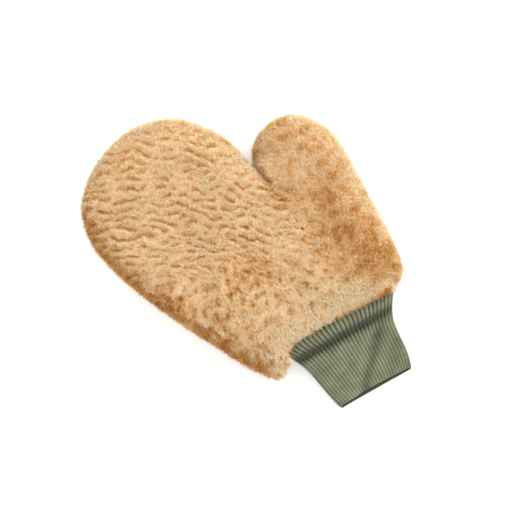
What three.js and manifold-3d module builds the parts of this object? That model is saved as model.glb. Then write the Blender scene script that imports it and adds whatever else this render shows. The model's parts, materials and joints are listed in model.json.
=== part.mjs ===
// A shearling wash mitt: sheepskin panels with the wool outside, a broad thumb and a rib-knit cuff.
// Millimetres, +Z up. The mitt lies palm up, its fingers point to +Y and its thumb is on the +X side.
// While it is drawn, the middle of the wrist seam is at x = 0, y = 0; the last lines move the origin
// to the middle of the footprint, on the surface that the mitt lies on.
import * as THREE from 'three';
import { mergeVertices } from 'three/addons/utils/BufferGeometryUtils.js';
import Module from 'manifold-3d';

const wasm = await Module();
wasm.setup();

// ---- driving dimensions ----
const FINGER_REACH = 239;        // wrist seam to the tip of the finger pouch
const THUMB_REACH = 184;         // wrist seam to the tip of the thumb
const LITTLE_SIDE = 158;         // from the wrist's middle to the little finger's side
const THUMB_SIDE = 77;           // from the wrist's middle to the thumb's outer side
const THICKNESS = 58;            // wool to wool, before the back is pressed flat
const PRESSED = 2;               // how much of the lowest wool the table flattens
const EDGE_PILE = 20;            // wool length along the edges of the panels
const FACE_PILE = 18;            // wool length on the back and the palm
const HIDE = 1.5;                // thickness of the skin that the wool grows on
const GAP = 0.3;                 // space between pieces that touch
const SLIT_LEAN = 14;            // degrees that the slit beside the thumb leans from +Y towards -X
const CROTCH = [8, 112];         // where the slit beside the thumb ends
const THUMB_PIVOT = [46, 74];    // root of the thumb
const PARTING_FOOT = [14, -30];  // the thumb panels are sewn to the main panels from CROTCH to here
const FINGERS_CURL = 45;         // degrees that the fingers curl towards the palm
const THUMB_OUT = 22;            // degrees that the thumb swings away from the fingers
const CUFF_UP = 35;              // degrees that the cuff bends towards the palm
const CUFF_DOWN = 10;            // degrees that the cuff bends towards the back
const CUFF_LENGTH = 70;          // wrist seam to folded edge
const CUFF_SEAM_WIDTH = 116;     // flat width at the wrist seam
const CUFF_WAIST_WIDTH = 82;     // flat width where the ribs pull in
const CUFF_END_WIDTH = 71;       // flat width at the folded edge
const CUFF_SEAM_HEIGHT = 26;     // how thick the cuff stands at the wrist seam
const CUFF_WAIST_HEIGHT = 20;    // how thick it stands where the ribs pull in
const CUFF_END_HEIGHT = 18;      // how thick it stands at the folded edge
const CUFF_END_RISE = 10.5;      // height of the middle of the folded edge over the table
const CUFF_SHIFT = -3.5;         // the cuff's middle is this far towards the little finger
const PLY = 1.6;                 // thickness of one layer of rib knit
const PLY_GAP = 0.5;             // space between the two layers of the cuff
const THREAD = 0.9;              // thickness of the sewing thread
const STITCH = 10;               // length of one overlock stitch
const STITCH_WIDTH = 3;          // how wide the overlock zigzags
const SEAM_CLEARANCE = 2.4;      // from the hide or the knit to the thread

const MID = THICKNESS / 2 - PRESSED;      // height of the plane where back and palm meet
const HALF = THICKNESS / 2;
const FAR = 600;
const OUTLINE_STEPS = 30;
const LOBE_POWER = 2.8;                    // 2 is an ellipse, more is a boxier edge
const RING_ANGLES = [-74, -52, -34, -17, 0, 17, 34, 52, 74];

// ---- outlines, seen from above: closed smooth curves, counter-clockwise ----
// A point beside or beyond the crotch: shares of the reach past the crotch and of the width.
const FINGERS_BEYOND = FINGER_REACH - CROTCH[1];
const THUMB_BEYOND = THUMB_REACH - CROTCH[1];
const onFingers = (across, beyond) => [-across * LITTLE_SIDE, CROTCH[1] + beyond * FINGERS_BEYOND];
const onThumb = (across, beyond) => [across * THUMB_SIDE, CROTCH[1] + beyond * THUMB_BEYOND];
const MAIN_OUTLINE = [
  [22, 30], [CROTCH[0] - 2, 100], onFingers(0.006, 0.3), onFingers(0.057, 0.61), onFingers(0.2, 0.87),
  onFingers(0.49, 1), onFingers(0.79, 0.88), onFingers(0.975, 0.61), onFingers(1, 0.28),
  [-0.85 * LITTLE_SIDE, 82], [-0.645 * LITTLE_SIDE, 20], [-0.52 * LITTLE_SIDE, -13], [-40, -5], [10, -5],
];
const THUMB_OUTLINE = [
  [0.75 * THUMB_SIDE, -2], [0.94 * THUMB_SIDE, 20], [THUMB_SIDE, 70], onThumb(1, 0.36), onThumb(0.8, 0.83),
  onThumb(0.39, 1), onThumb(0.013, 0.71), [-2, 120], [-4, 40], [20, -5],
];
const PALM_OUTLINE = [
  [0.94 * THUMB_SIDE, 20], [THUMB_SIDE, 60], [0.99 * THUMB_SIDE, 105], [45, CROTCH[1] + 14],
  [0, CROTCH[1] + 19], [-70, CROTCH[1] + 16], [-0.81 * LITTLE_SIDE, 108], [-0.83 * LITTLE_SIDE, 77],
  [-0.645 * LITTLE_SIDE, 20], [-0.505 * LITTLE_SIDE, -9], [-30, -6], [30, -6], [0.78 * THUMB_SIDE, 0],
];
const LOBES = [
  { outline: MAIN_OUTLINE, spine: [[-0.32 * LITTLE_SIDE, 50], onFingers(0.52, 0.42)] },
  { outline: THUMB_OUTLINE, spine: [[36, 45], onThumb(0.48, 0.42)] },
  { outline: PALM_OUTLINE, spine: [[-0.43 * LITTLE_SIDE, 58], [16, 62]] },
];

// ---- solids ----
function solidOf(geometry) {
  const bare = geometry.index ? geometry.toNonIndexed() : geometry.clone();
  bare.deleteAttribute('normal');
  bare.deleteAttribute('uv');
  const merged = mergeVertices(bare, 1e-4);
  const vertProperties = new Float32Array(merged.attributes.position.array);
  const triVerts = new Uint32Array(merged.index.array);
  return new wasm.Manifold(new wasm.Mesh({ numProp: 3, vertProperties, triVerts }));
}

function geometryOf(solid) {
  const mesh = solid.getMesh();
  const geometry = new THREE.BufferGeometry();
  geometry.setAttribute('position', new THREE.BufferAttribute(new Float32Array(mesh.vertProperties), 3));
  geometry.setIndex(new THREE.BufferAttribute(new Uint32Array(mesh.triVerts), 1));
  return geometry;
}

function boxBetween(low, high) {
  const size = high.map((value, axis) => value - low[axis]);
  const box = new THREE.BoxGeometry(...size);
  box.translate(...high.map((value, axis) => (value + low[axis]) / 2));
  return solidOf(box);
}

// A closed tube of rings: rings[i][j] is point j of ring i. The rings either close on each other or
// are capped at both ends by a fan.
function solidOfRings(rings, closed) {
  const count = rings[0].length;
  const positions = rings.flat(2);
  const index = [];
  const last = closed ? rings.length : rings.length - 1;
  for (let i = 0; i < last; i += 1) {
    const next = (i + 1) % rings.length;
    for (let j = 0; j < count; j += 1) {
      const k = (j + 1) % count;
      index.push(i * count + j, i * count + k, next * count + k);
      index.push(i * count + j, next * count + k, next * count + j);
    }
  }
  if (!closed) {
    const top = (rings.length - 1) * count;
    for (let j = 1; j < count - 1; j += 1) {
      index.push(0, j + 1, j);
      index.push(top, top + j, top + j + 1);
    }
  }
  const geometry = new THREE.BufferGeometry();
  geometry.setAttribute('position', new THREE.BufferAttribute(new Float32Array(positions), 3));
  geometry.setIndex(index);
  return solidOf(geometry);
}

function smoothOutline(points) {
  const curve = new THREE.CatmullRomCurve3(points.map(([x, y]) => new THREE.Vector3(x, y, 0)), true, 'centripetal');
  return curve.getSpacedPoints(OUTLINE_STEPS).slice(0, OUTLINE_STEPS).map((p) => [p.x, p.y]);
}

// The outline moved inwards, at right angles to itself.
function insetOutline(points, distance) {
  const count = points.length;
  return points.map(([x, y], i) => {
    const [ax, ay] = points[(i + count - 1) % count];
    const [bx, by] = points[(i + 1) % count];
    const length = Math.hypot(bx - ax, by - ay);
    return [x - distance * (by - ay) / length, y + distance * (bx - ax) / length];
  });
}

function nearestOnSegment([x, y], [[ax, ay], [bx, by]]) {
  const along = ((x - ax) * (bx - ax) + (y - ay) * (by - ay)) / ((bx - ax) ** 2 + (by - ay) ** 2);
  const t = Math.min(1, Math.max(0, along));
  return [ax + t * (bx - ax), ay + t * (by - ay)];
}

// A pillow over an outline: each ring is the outline drawn in towards the spine by cos, and raised by
// sin, both to the power 2 / LOBE_POWER.
function pillow(lobe, inset, half) {
  const edge = insetOutline(smoothOutline(lobe.outline), inset);
  const rings = RING_ANGLES.map((degrees) => {
    const angle = THREE.MathUtils.degToRad(degrees);
    const reach = Math.cos(angle) ** (2 / LOBE_POWER);
    const rise = Math.sign(angle) * half * Math.abs(Math.sin(angle)) ** (2 / LOBE_POWER);
    return edge.map((point) => {
      const [sx, sy] = nearestOnSegment(point, lobe.spine);
      return [sx + reach * (point[0] - sx), sy + reach * (point[1] - sy), MID + rise];
    });
  });
  return solidOfRings(rings, false);
}

function pillows(inset, half) {
  return LOBES.map((lobe) => pillow(lobe, inset, half)).reduce((all, one) => all.add(one));
}

// ---- cuff shape ----
// Values at the seam, the puffed roll, the waist and the end, joined by smooth steps.
function cuffSection(fromSeam) {
  const share = fromSeam / CUFF_LENGTH;
  const pull = Math.exp(-((share / 0.3) ** 1.4));
  const taper = Math.max(0, share - 0.3) / 0.7;
  const waist = CUFF_WAIST_WIDTH + (CUFF_END_WIDTH - CUFF_WAIST_WIDTH) * taper;
  const waistHeight = CUFF_WAIST_HEIGHT + (CUFF_END_HEIGHT - CUFF_WAIST_HEIGHT) * taper;
  const droop = THREE.MathUtils.smoothstep(share, 0, 1);
  return {
    halfWidth: (waist + (CUFF_SEAM_WIDTH - CUFF_WAIST_WIDTH) * pull) / 2,
    halfHeight: (waistHeight + (CUFF_SEAM_HEIGHT - CUFF_WAIST_HEIGHT) * pull) / 2,
    middle: MID + (CUFF_END_RISE - MID) * droop,
  };
}

const CUFF_SIDES = 24;
const CUFF_POWER = 2.6;
const SLEEVE_TUCK = 2;           // the hide is this much narrower than the cuff on each side

// One ring of a flattened tube across the wrist: a rounded rectangle, as a superellipse.
function flatRing(y, halfWidth, halfHeight, middle) {
  const ring = [];
  for (let j = 0; j < CUFF_SIDES; j += 1) {
    const angle = (j / CUFF_SIDES) * 2 * Math.PI;
    const across = Math.sign(Math.cos(angle)) * Math.abs(Math.cos(angle)) ** (2 / CUFF_POWER);
    const up = Math.sign(Math.sin(angle)) * Math.abs(Math.sin(angle)) ** (2 / CUFF_POWER);
    ring.push([CUFF_SHIFT + across * halfWidth, y, middle + up * halfHeight]);
  }
  return ring;
}

// The cuff's ring at a distance from the seam, depth inside its outer face.
function cuffRing(fromSeam, depth) {
  const section = cuffSection(fromSeam);
  return flatRing(-fromSeam, section.halfWidth - depth, section.halfHeight - depth, section.middle);
}

// The cuff is one knitted tube folded on itself: its section is a U, open at the wrist seam.
function cuffSolid() {
  const stops = [GAP, 5, 10, 16, 23, 32, 45, 57].map((y) => y * (CUFF_LENGTH / 70));
  const wall = 2 * PLY + PLY_GAP;
  const foldStart = CUFF_LENGTH - wall / 2;
  const profile = stops.map((y) => [y, 0]);
  for (const degrees of [0, 45, 90, 135, 180]) {
    const angle = THREE.MathUtils.degToRad(degrees);
    profile.push([foldStart + (wall / 2) * Math.sin(angle), (wall / 2) * (1 - Math.cos(angle))]);
  }
  stops.slice().reverse().forEach((y) => profile.push([y, wall]));
  stops.forEach((y) => profile.push([y, PLY + PLY_GAP]));
  profile.push([foldStart, PLY + PLY_GAP]);
  profile.push([foldStart, PLY]);
  stops.slice().reverse().forEach((y) => profile.push([y, PLY]));
  const rings = profile.map(([y, depth]) => cuffRing(y, depth));
  return solidOfRings(rings, true);
}

// A sleeve that carries the hide, or the hollow inside it, out of the palm to the wrist seam.
function wristSleeve(depth, upTo, downTo) {
  const seam = cuffSection(0);
  const halfWidth = seam.halfWidth - SLEEVE_TUCK - depth;
  const halfHeight = seam.halfHeight - SLEEVE_TUCK / 2 - depth;
  const palmHeight = HALF - FACE_PILE - depth;
  return solidOfRings([
    flatRing(upTo, halfWidth + 2 * SLEEVE_TUCK, palmHeight, MID),
    flatRing(4, halfWidth, halfHeight, MID),
    flatRing(downTo, halfWidth, halfHeight, MID),
  ], false);
}

// ---- regions: upright prisms over plan polygons, and wedges that leave room for the hinges ----
function prism(polygon, low, high) {
  const shape = new THREE.Shape(polygon.map(([x, y]) => new THREE.Vector2(x, y)));
  const geometry = new THREE.ExtrudeGeometry(shape, { depth: high - low, bevelEnabled: false });
  geometry.translate(0, 0, low);
  return solidOf(geometry);
}

function along([x, y], degrees, distance) {
  const angle = THREE.MathUtils.degToRad(degrees);
  return [x + distance * Math.cos(angle), y + distance * Math.sin(angle)];
}

const ROOT_LINE = THREE.MathUtils.radToDeg(
  Math.atan2(THUMB_PIVOT[1] - CROTCH[1], THUMB_PIVOT[0] - CROTCH[0]));
const HINGE_PLAY = 0.5;          // degrees of room left over at each limit
const SLIT_UP = 90 + SLIT_LEAN;
const KNUCKLE = SLIT_UP + 90;    // direction of the knuckle line, from the crotch to the little finger

// Everything beyond the knuckle line, on the little finger's side of the slit.
function fingerRegion() {
  const foot = along(along(CROTCH, KNUCKLE, GAP / 2), SLIT_UP, GAP / 2);
  return prism([foot, along(foot, SLIT_UP, FAR), along(along(foot, SLIT_UP, FAR), KNUCKLE, FAR),
    along(foot, KNUCKLE, FAR)], -FAR, FAR);
}

// Everything beyond the thumb's root line, on the thumb's side of the slit.
function thumbRegion() {
  const foot = along(along(CROTCH, KNUCKLE + 180, GAP / 2), ROOT_LINE + 90, GAP / 2);
  const pivot = along(THUMB_PIVOT, ROOT_LINE + 90, GAP / 2);
  const outer = along(pivot, ROOT_LINE + THUMB_OUT / 2 + HINGE_PLAY, FAR);
  return prism([foot, pivot, outer, [FAR, FAR], along(foot, SLIT_UP, FAR)], -FAR, FAR);
}

// The palm of the hand: what lies below both lines.
function handRegion() {
  const low = along(CROTCH, SLIT_UP + 180, GAP / 2);
  const pivot = along(THUMB_PIVOT, ROOT_LINE - 90, GAP / 2);
  const outer = along(pivot, ROOT_LINE - THUMB_OUT / 2 - HINGE_PLAY, FAR);
  return prism([low, along(low, KNUCKLE, FAR), [-FAR, -FAR], [outer[0], -FAR], outer, pivot], -FAR, FAR);
}

// The room that one side of the knuckles needs to curl towards the palm: a wedge above the knuckle
// line, which leans by half the curl towards the fingers (side 1) or the wrist (side -1).
function knuckleWedge(side) {
  const reach = 2 * THICKNESS;
  const lean = side * reach * Math.tan(THREE.MathUtils.degToRad(FINGERS_CURL / 2 + HINGE_PLAY));
  const corners = [[0, 0], [0, reach], [lean, reach]].map((point) => new THREE.Vector2(...point));
  const geometry = new THREE.ExtrudeGeometry(new THREE.Shape(corners), { depth: FAR, bevelEnabled: false });
  const fingers = along([0, 0], SLIT_UP, 1);
  const across = along([0, 0], SLIT_UP - 90, 1);
  const place = new THREE.Matrix4().makeBasis(
    new THREE.Vector3(...fingers, 0), new THREE.Vector3(0, 0, 1), new THREE.Vector3(...across, 0));
  place.setPosition(...along(CROTCH, KNUCKLE, FAR / 2), MID);
  geometry.applyMatrix4(place);
  return solidOf(geometry);
}

// The wedges at the wrist seam, as wide as the cuff: they leave room for the cuff to bend.
function wristWedges() {
  const width = CUFF_SEAM_WIDTH + 4;
  const reach = 2 * THICKNESS;
  const corners = (sign, degrees) => [
    [-FAR / 2, 0], [0, 0], [reach * Math.tan(THREE.MathUtils.degToRad(degrees + HINGE_PLAY)), sign * reach],
    [-FAR / 2, sign * reach],
  ];
  const place = new THREE.Matrix4().makeBasis(
    new THREE.Vector3(0, 1, 0), new THREE.Vector3(0, 0, 1), new THREE.Vector3(1, 0, 0));
  place.setPosition(CUFF_SHIFT - width / 2, 0, MID);
  return [corners(1, CUFF_UP), corners(-1, CUFF_DOWN)].map((points) => {
    const shape = new THREE.Shape(points.map((p) => new THREE.Vector2(...p)));
    const geometry = new THREE.ExtrudeGeometry(shape, { depth: width, bevelEnabled: false });
    geometry.applyMatrix4(place);
    return solidOf(geometry);
  });
}

// ---- threads: an overlock zigzag along a path inside the hollow ----
const THREAD_SIDES = 5;

function zigzagThread(path, sideways, closed = false) {
  const curve = new THREE.CatmullRomCurve3(path.map((p) => new THREE.Vector3(...p)), closed, 'centripetal');
  const swings = 2 * Math.max(2, Math.round(curve.getLength() / STITCH));
  const points = [];
  for (let i = 0; i < swings + (closed ? 0 : 1); i += 1) {
    const swing = (i % 2 ? 0.5 : -0.5) * STITCH_WIDTH;
    points.push(curve.getPointAt(i / swings).addScaledVector(sideways, swing));
  }
  const zigzag = new THREE.CatmullRomCurve3(points, closed, 'centripetal');
  const round = new THREE.Path().absarc(0, 0, THREAD / 2, 0, 2 * Math.PI);
  const section = new THREE.Shape(round.getSpacedPoints(THREAD_SIDES).slice(0, THREAD_SIDES));
  return new THREE.ExtrudeGeometry(section, { steps: 2 * swings, extrudePath: zigzag, bevelEnabled: false });
}

function seamPath(lobe, keep) {
  const inner = insetOutline(smoothOutline(lobe.outline), EDGE_PILE + HIDE + SEAM_CLEARANCE + THREAD);
  const kept = inner.map((point) => keep(point));
  const start = kept.findIndex((value, i) => value && !kept[(i + kept.length - 1) % kept.length]);
  const path = [];
  for (let i = 0; i < inner.length && kept[(start + i) % inner.length]; i += 1) {
    path.push([...inner[(start + i) % inner.length], MID]);
  }
  return path;
}

// How far a point is beyond a line that starts at foot and runs in the given direction, to its left.
function leftOf(foot, degrees, [x, y]) {
  const [dx, dy] = along([0, 0], degrees, 1);
  return dx * (y - foot[1]) - dy * (x - foot[0]);
}

// ---- materials ----
const wool = new THREE.MeshStandardMaterial({ color: 0xe4b783, roughness: 1, metalness: 0 });
const suede = new THREE.MeshStandardMaterial({ color: 0xcfa77a, roughness: 0.95, metalness: 0 });
const knit = new THREE.MeshStandardMaterial({ color: 0x8d9174, roughness: 0.95, metalness: 0 });
const sewing = new THREE.MeshStandardMaterial({ color: 0x6b6a4c, roughness: 0.8, metalness: 0 });

const mitt = new THREE.Group();

function addPiece(name, geometry, material) {
  geometry.computeVertexNormals();
  const mesh = new THREE.Mesh(geometry, material);
  mesh.name = name;
  mitt.add(mesh);
}

// ---- the shearling panels ----
const SLEEVE = [30, -20];        // the wrist's opening runs from this far inside to this far outside
const table = boxBetween([-FAR, -FAR, -FAR], [FAR, FAR, 0]);
const outside = pillows(0, HALF).subtract(table);
const hideShape = pillows(EDGE_PILE, HALF - FACE_PILE).add(wristSleeve(0, ...SLEEVE));
const woolHollow = pillows(EDGE_PILE - GAP, HALF - FACE_PILE + GAP).add(wristSleeve(-GAP, ...SLEEVE));
const hollow = pillows(EDGE_PILE + HIDE, HALF - FACE_PILE - HIDE).add(wristSleeve(HIDE, ...SLEEVE));
const seamRoom = wristWedges();
const woolBody = seamRoom.reduce((solid, wedge) => solid.subtract(wedge), outside.subtract(woolHollow));
const seamEnd = boxBetween([-FAR, -FAR, -FAR], [FAR, 0, FAR]);
const hideBody = seamRoom.reduce((solid, wedge) => solid.subtract(wedge), hideShape.subtract(hollow)).subtract(seamEnd);

const halves = {
  palm: boxBetween([-FAR, -FAR, MID + GAP / 2], [FAR, FAR, FAR]),
  back: boxBetween([-FAR, -FAR, -FAR], [FAR, FAR, MID - GAP / 2]),
};
const partingLeft = prism([along(CROTCH, 0, -GAP / 2), along(CROTCH, 0, -FAR), [-FAR, -FAR],
  along([PARTING_FOOT[0], -FAR], 0, -GAP / 2), along(PARTING_FOOT, 0, -GAP / 2)], -FAR, FAR);
const partingRight = prism([along(CROTCH, 0, GAP / 2), along(PARTING_FOOT, 0, GAP / 2),
  along([PARTING_FOOT[0], -FAR], 0, GAP / 2), [FAR, -FAR], along(CROTCH, 0, FAR)], -FAR, FAR);
const handShape = handRegion().subtract(knuckleWedge(-1));
const fingerShape = fingerRegion().subtract(knuckleWedge(1));
const regions = {
  finger: fingerShape,
  thumb: thumbRegion(),
  hand: handShape.intersect(partingLeft),
  thumb_base: handShape.intersect(partingRight),
};
for (const [region, shape] of Object.entries(regions)) {
  for (const [half, space] of Object.entries(halves)) {
    const part = shape.intersect(space);
    addPiece(`${region}_${half}_wool`, geometryOf(woolBody.intersect(part)), wool);
    addPiece(`${region}_${half}_hide`, geometryOf(hideBody.intersect(part)), suede);
  }
}

// ---- the cuff ----
addPiece('rib_cuff', geometryOf(cuffSolid()), knit);

// ---- the sewing threads, inside the mitt ----
const UPWARD = new THREE.Vector3(0, 0, 1);
const SIDEWAYS = new THREE.Vector3(1, 0, 0);
const ENDWAYS = new THREE.Vector3(0, 1, 0);
const SEAM_START = 18;           // the side seams start this far above the wrist seam
const SEAM_BREAK = 3;            // the side seams stop this far from a line that bends
const [mainLobe, thumbLobe] = LOBES;
const pastKnuckles = (point) => leftOf(CROTCH, SLIT_UP - 90, point);
const pastRoot = (point) => leftOf(CROTCH, ROOT_LINE, point);

addPiece('finger_seam_thread', zigzagThread(
  seamPath(mainLobe, (point) => pastKnuckles(point) > SEAM_BREAK), UPWARD), sewing);
addPiece('thumb_seam_thread', zigzagThread(
  seamPath(thumbLobe, (point) => pastRoot(point) > 2 * SEAM_BREAK), UPWARD), sewing);
addPiece('little_finger_side_seam_thread', zigzagThread(seamPath(mainLobe, (point) =>
  pastKnuckles(point) < -SEAM_BREAK && point[0] < -LITTLE_SIDE / 3 && point[1] > SEAM_START), UPWARD), sewing);
addPiece('thumb_side_seam_thread', zigzagThread(seamPath(thumbLobe, (point) =>
  pastRoot(point) < -4 * SEAM_BREAK && point[0] > THUMB_SIDE / 2 && point[1] > SEAM_START), UPWARD), sewing);

// The seam between the main panel and the thumb panel: side 1 is on the palm, side -1 on the back.
const PARTING_THREAD_HEIGHT = 0.66;                          // share of the hollow's height
const PARTING_THREAD_SHARES = [0.42, 0.53, 0.64, 0.74, 0.83];  // shares of the way to the crotch
function partingThread(side) {
  const ceiling = (HALF - FACE_PILE - HIDE) * PARTING_THREAD_HEIGHT;
  const [footX, footY] = PARTING_FOOT;
  const path = PARTING_THREAD_SHARES.map((share) => [
    footX + share * (CROTCH[0] - footX), footY + share * (CROTCH[1] - footY), MID + side * ceiling]);
  return zigzagThread(path, SIDEWAYS);
}
addPiece('palm_parting_seam_thread', partingThread(1), sewing);
addPiece('back_parting_seam_thread', partingThread(-1), sewing);

const INSIDE_CUFF = 2 * PLY + PLY_GAP + SEAM_CLEARANCE + THREAD / 2;

// The thread that joins the cuff to the hide: a zigzag ring just inside the cuff's mouth.
const CUFF_JOIN = 3.5;           // how far from the wrist seam it runs
addPiece('cuff_attaching_thread', zigzagThread(cuffRing(CUFF_JOIN, INSIDE_CUFF), ENDWAYS, true), sewing);

// The knitted tube is closed by a seam along the little finger's side.
const SIDE_THREAD_SHARES = [0.12, 0.28, 0.45, 0.62, 0.79, 0.92];  // shares of the cuff's length
function cuffSideThread() {
  const path = SIDE_THREAD_SHARES.map((share) => {
    const section = cuffSection(share * CUFF_LENGTH);
    const x = CUFF_SHIFT - section.halfWidth + INSIDE_CUFF + STITCH_WIDTH / 2;
    return [x, -share * CUFF_LENGTH, section.middle];
  });
  return zigzagThread(path, SIDEWAYS);
}
addPiece('cuff_side_seam_thread', cuffSideThread(), sewing);

// ---- the origin: middle of the footprint, on the table ----
const bounds = new THREE.Box3().setFromObject(mitt);
const middle = bounds.getCenter(new THREE.Vector3());
mitt.position.set(-middle.x, -middle.y, -bounds.min.z);
mitt.updateMatrixWorld(true);

export default mitt;
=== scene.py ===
import json
import math

import bpy
import numpy as np
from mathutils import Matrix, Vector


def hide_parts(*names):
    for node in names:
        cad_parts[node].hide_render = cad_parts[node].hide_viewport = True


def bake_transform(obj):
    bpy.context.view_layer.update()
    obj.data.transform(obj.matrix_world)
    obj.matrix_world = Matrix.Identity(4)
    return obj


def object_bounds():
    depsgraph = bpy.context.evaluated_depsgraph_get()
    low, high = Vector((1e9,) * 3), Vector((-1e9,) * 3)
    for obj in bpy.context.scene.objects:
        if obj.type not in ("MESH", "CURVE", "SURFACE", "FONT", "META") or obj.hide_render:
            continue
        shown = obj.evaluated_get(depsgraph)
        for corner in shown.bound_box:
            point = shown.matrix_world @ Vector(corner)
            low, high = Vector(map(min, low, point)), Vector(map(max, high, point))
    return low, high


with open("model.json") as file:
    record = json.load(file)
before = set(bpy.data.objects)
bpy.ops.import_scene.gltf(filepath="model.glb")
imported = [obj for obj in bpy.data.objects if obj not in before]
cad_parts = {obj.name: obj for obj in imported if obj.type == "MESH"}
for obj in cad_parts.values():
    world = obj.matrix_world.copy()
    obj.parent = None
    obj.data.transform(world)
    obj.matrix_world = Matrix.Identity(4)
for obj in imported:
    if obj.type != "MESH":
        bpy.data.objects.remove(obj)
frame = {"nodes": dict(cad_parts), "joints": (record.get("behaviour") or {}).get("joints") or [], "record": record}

# A sheepskin wash mitt, lying palm up. Sizes below are millimetres: x to the thumb's side, y to the
# fingertips, both from the middle of the wrist seam, and z up from the table. place() turns them into
# metres in the model's frame. In smooth() the last two numbers are where a change starts and ends.
CAD_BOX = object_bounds()
HINGES = {joint["name"]: np.array(joint["pos_m"]) * 1000 for joint in frame["joints"]}
CUFF_SHIFT = -3.5                                # the cuff's middle, beside the hand's middle line
WRIST = HINGES["cuff_bend"]
ORIGIN = np.array([WRIST[0] - CUFF_SHIFT, WRIST[1], 0.0])
CROTCH = HINGES["finger_curl"][:2] - ORIGIN[:2]  # the foot of the slit beside the thumb
THUMB_ROOT = HINGES["thumb_swing"][:2] - ORIGIN[:2]
MIDDLE = WRIST[2]                                # height of the plane where palm and back meet
SLIT_UP = math.radians(104)                      # direction of the slit beside the thumb
ROOT_UP = math.radians(45)                       # direction that the thumb leaves the hand in

TIPS_OUT = 1.7                                   # hairs' tips over the body, as the solid is drawn
FACE_TOP = CAD_BOX[1][2] * 1000 - MIDDLE - TIPS_OUT  # the wool's body above the middle plane
BACK_LIES_AT = 3.2                               # the pressed wool's body stands this high off the table
TABLE_LIFT = 1.9                                 # and no part of it comes nearer than this
FUZZ = 4.0                                       # how far the pile's tips stand out of the body
HIDE_TOP = 11.3                                  # outer face of the skin above the middle plane
WOOL_INSIDE = HIDE_TOP + 0.6                     # inner face of the wool's body, just clear of the skin
CUFF_LENGTH = 70.0                               # from the wrist seam to the fold at the free edge
CUFF_POWER = 2.6                                 # the flattened cuff's section: a superellipse
RING_HALF_WIDTH = 57                             # the cuff's top ring, where it goes into the wool
RING_HALF_HEIGHT = 12.5


def place(points):
    """Points in millimetres from the wrist seam, as metres in the model's frame."""
    return (np.asarray(points, float) + ORIGIN) / 1000


# ---------------------------------------------------------------- curves and fields
SPAN_STEPS = 24                                  # points worked out on each span of a closed curve
ANY_WAY = 3                                      # a spread of directions that prefers none


def closed_curve(points, spacing):
    """A closed curve through the points, as evenly spaced points: each span is the cubic whose ends
    have half the difference of the neighbours as their slopes."""
    p = np.asarray(points, float)
    before, after, later = np.roll(p, 1, 0), np.roll(p, -1, 0), np.roll(p, -2, 0)
    t = np.linspace(0, 1, SPAN_STEPS, endpoint=False)[None, :, None]
    a, b = p[:, None], after[:, None]
    slope_a, slope_b = ((after - before) / 2)[:, None], ((later - p) / 2)[:, None]
    dense = (
        (2 * t**3 - 3 * t**2 + 1) * a + (t**3 - 2 * t**2 + t) * slope_a
        + (3 * t**2 - 2 * t**3) * b + (t**3 - t**2) * slope_b
    ).reshape(-1, p.shape[1])
    ring = np.vstack([dense, dense[:1]])
    run = np.concatenate([[0], np.cumsum(np.linalg.norm(np.diff(ring, axis=0), axis=1))])
    steps = np.linspace(0, run[-1], int(run[-1] / spacing), endpoint=False)
    return np.stack([np.interp(steps, run, ring[:, k]) for k in range(ring.shape[1])], 1)


def smooth(x, start, end):
    """0 before start, 1 after end, and the cubic 3t^2 - 2t^3 between them."""
    t = np.clip((x - start) / (end - start), 0, 1)
    return t * t * (3 - 2 * t)


def random_waves(seed, count, length, jitter, spread, tilt):
    """Random waves: vectors of 2 pi over a length, which varies by a share of jitter, within spread
    (radians) of the x direction in plan, with a share of tilt upwards, and a random phase for each."""
    rng = np.random.default_rng(seed)
    size = 2 * math.pi / (length * np.exp(rng.normal(0, jitter, count)))
    angle = rng.normal(0, spread, count)
    waves = np.stack([size * np.cos(angle), size * np.sin(angle), size * rng.normal(0, tilt, count)])
    return waves, rng.uniform(0, 2 * math.pi, count)


def ripples(points, seed, length):
    """A random field of even strength, in blots: the sum of cosines whose wave vectors point any way
    and have about one wave length (in millimetres)."""
    count = 48
    waves, phase = random_waves(seed, count, length, 0.22, ANY_WAY, 0.5)
    flat = points.reshape(-1, 3)
    total = np.zeros(len(flat))
    for i in range(count):
        total += np.cos(flat @ waves[:, i] + phase[i])
    return (total * math.sqrt(2 / count)).reshape(points.shape[:-1])


def furrows(points, seed, length, spread, width):
    """Narrow furrows about one wave length apart, across the x direction, or any way if spread is
    wide. Waves with random phases, all close to one length and direction, are added as complex
    numbers. A furrow lies where the angle of their sum is half a turn, as a bell curve of that angle,
    so furrows wander, fork and end; where the sum is weak they are shallow. Returns the furrows, 0 to
    1, and the sine of the angle, which slopes between them."""
    count = 40
    waves, phase = random_waves(seed, count, length, 0.13, spread, 0.3)
    flat = points.reshape(-1, 3)
    total = np.zeros(len(flat), complex)
    for i in range(count):
        total += np.exp(1j * (flat @ waves[:, i] + phase[i]))
    total = total.reshape(points.shape[:-1]) / math.sqrt(count)
    strength = smooth(np.abs(total), 0.15, 1.1)
    away = np.abs(np.angle(-total))
    return np.exp(-((away / width) ** 2)) * strength, np.sin(np.angle(total)) * strength


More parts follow.
